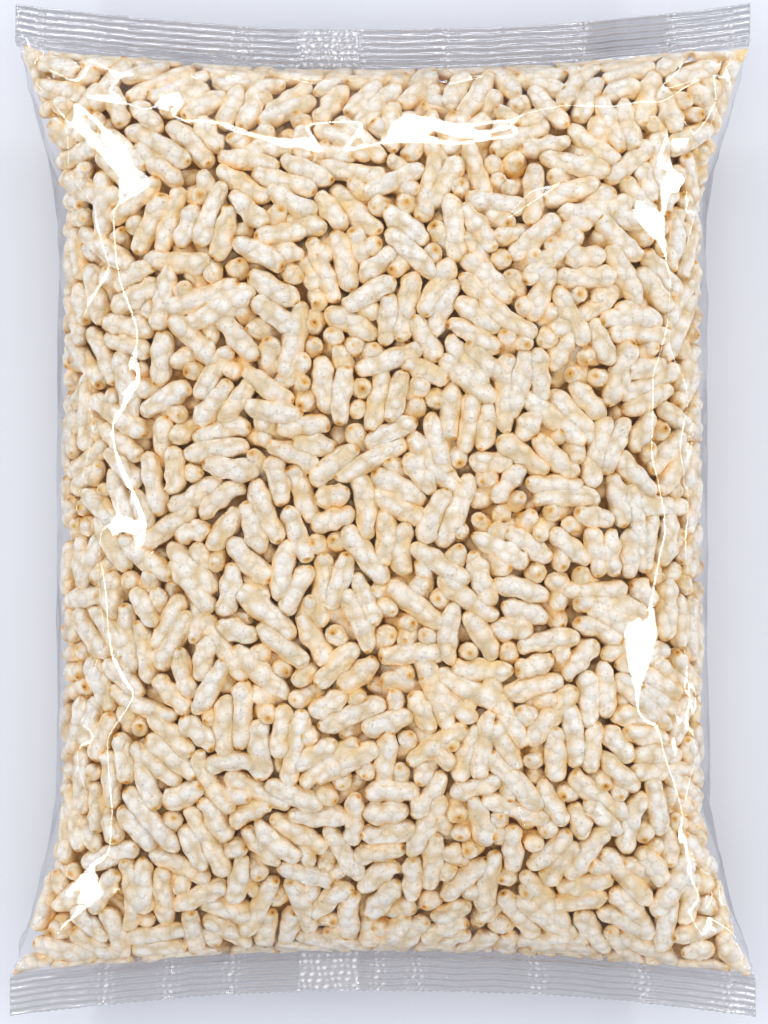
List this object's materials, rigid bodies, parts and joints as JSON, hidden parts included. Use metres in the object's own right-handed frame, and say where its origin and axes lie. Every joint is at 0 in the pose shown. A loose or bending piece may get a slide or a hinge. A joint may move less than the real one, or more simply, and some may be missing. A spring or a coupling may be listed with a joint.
{
  "type": "puffed rice in a clear bag",
  "caption": "Filled clear pillow bag of puffed rice lying on its back, with grains showing through the film, crimped end seals and a flat back seal.",
  "frame": {"origin": "middle of the surface that the bag lies on, under the middle of its outline", "axes": "+Z out of the bag's front, +Y towards its top seal, +X to the right as the front is seen"},
  "size_m": [0.1524, 0.207, 0.0392],
  "materials": {
    "puffed_rice": "matt, dry, lightly blistered",
    "clear_film": "clear gloss film"
  },
  "bodies": {
    "root": {"bag": "puffed_rice"}
  },
  "joints": []
}
